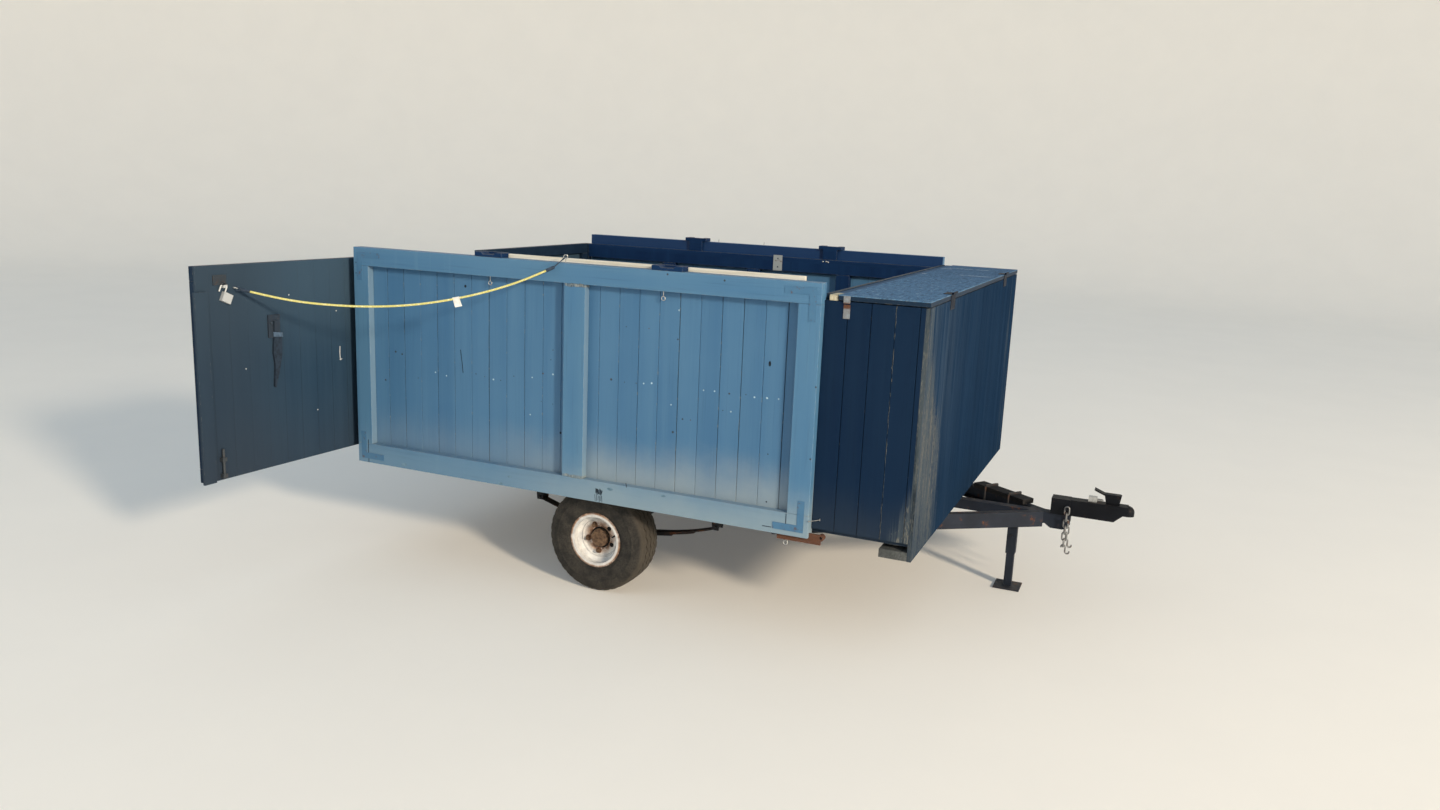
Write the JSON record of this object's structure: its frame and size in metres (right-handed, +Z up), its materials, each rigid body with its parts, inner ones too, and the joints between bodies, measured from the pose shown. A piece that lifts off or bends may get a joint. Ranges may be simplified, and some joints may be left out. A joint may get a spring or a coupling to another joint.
{
  "type": "single-axle utility trailer",
  "caption": "Home-built single-axle utility trailer: open boarded bed with hinged rear doors, lidded front locker, steel frame and ball-coupling drawbar.",
  "frame": {"origin": "centre of the tow ball socket in the coupler", "axes": "+X forward to the towing vehicle, +Y to the left side, +Z up; the ground is 0.480 m below the origin"},
  "size_m": [3.8447, 3.2653, 1.6168],
  "materials": {
    "blue_paint": "blue-grey gloss paint on boards, faded and scuffed",
    "charcoal_paint": "dark charcoal paint on timber, chalky and worn at edges",
    "blue_iron": "steel irons painted over with the panels",
    "hinge_paint": "steel hinge, dark paint worn through to rust",
    "frame_paint": "dark frame paint with rust and dried mud",
    "rusty_steel": "steel with a dry brown rust",
    "galvanised": "dull galvanised steel",
    "bare_steel": "zinc-plated steel, dulled",
    "white_paint": "white rim paint, chalky, rust around the bore",
    "weathered_wood": "bare weathered timber, grey-brown",
    "bare_wood": "bare pale softwood",
    "roof_felt": "mineral roofing felt, dark and rough",
    "cord_cover": "braided pale cover over rubber strands",
    "black_plastic": "black moulded plastic and dipped wire",
    "tyre": "black tyre rubber, dusty"
  },
  "bodies": {
    "chassis": {"axle_beam": "frame_paint", "bungee_cord": "cord_cover", "bungee_hook_wall": "black_plastic", "corner_posts": "charcoal_paint", "coupler_body": "rusty_steel", "coupler_latch": "rusty_steel", "coupler_lock": "bare_steel", "crossmembers": "frame_paint", "door_hinge_leaves": "hinge_paint", "drawbar_arm_left": "rusty_steel", "drawbar_arm_right": "rusty_steel", "drawbar_beam": "rusty_steel", "drawbar_plank": "weathered_wood", "drop_leg": "rusty_steel", "eye_screws": "bare_steel", "floor_deck": "weathered_wood", "floor_joists": "weathered_wood", "foot_beam": "charcoal_paint", "leaf_springs": "frame_paint", "leg_socket": "rusty_steel", "locker_bulkhead": "blue_paint", "locker_face": "charcoal_paint", "locker_floor": "weathered_wood", "locker_hardware": "hinge_paint", "locker_posts": "weathered_wood", "locker_sides": "charcoal_paint", "locker_top_strip": "bare_wood", "plank_clamps": "galvanised", "saddle_blocks": "charcoal_paint", "safety_chains": "galvanised", "side_rails": "frame_paint", "spring_clamps": "frame_paint", "spring_hangers": "frame_paint", "tail_lamps": "black_plastic", "top_battens": "bare_wood", "wall_irons": "blue_iron", "wall_left_boards": "blue_paint", "wall_left_frame": "blue_paint", "wall_left_studs": "charcoal_paint", "wall_right_boards": "blue_paint", "wall_right_frame": "blue_paint", "wall_right_studs": "charcoal_paint"},
    "wheel_right": {"tyre_right": "tyre", "rim_right": "white_paint", "hub_right": "rusty_steel"},
    "wheel_left": {"tyre_left": "tyre", "rim_left": "white_paint", "hub_left": "rusty_steel"},
    "door_right": {"door_right_sheet": "charcoal_paint", "door_right_battens": "charcoal_paint", "door_right_astragal": "charcoal_paint", "door_right_hinges": "hinge_paint", "door_right_fittings": "bare_steel", "bungee_hook_door": "black_plastic"},
    "door_left": {"door_left_sheet": "charcoal_paint", "door_left_battens": "charcoal_paint", "door_left_hinges": "hinge_paint"},
    "lid": {"lid_sheet": "weathered_wood", "lid_felt": "roof_felt", "lid_hardware": "hinge_paint"}
  },
  "joints": [
    {"name": "wheel_right_spin", "type": "hinge", "parent": "chassis", "child": "wheel_right", "pos_m": [-2.329, -1.0125, -0.223], "axis": [0, 1, 0], "continuous": true},
    {"name": "wheel_left_spin", "type": "hinge", "parent": "chassis", "child": "wheel_left", "pos_m": [-2.329, 1.0125, -0.223], "axis": [0, 1, 0], "continuous": true},
    {"name": "door_right_swing", "type": "hinge", "parent": "chassis", "child": "door_right", "pos_m": [-3.722, -1.0985, 0.55], "axis": [0, 0, 1], "range_deg": [-177, 9], "deforming": ["bungee_cord"]},
    {"name": "door_left_swing", "type": "hinge", "parent": "chassis", "child": "door_left", "pos_m": [-3.722, 1.0985, 0.55], "axis": [0, 0, -1], "range_deg": [0, 187]},
    {"name": "lid_swing", "type": "hinge", "parent": "chassis", "child": "lid", "pos_m": [-0.7835, 0, 1.058], "axis": [0, 1, 0], "range_deg": [0, 255]}
  ]
}
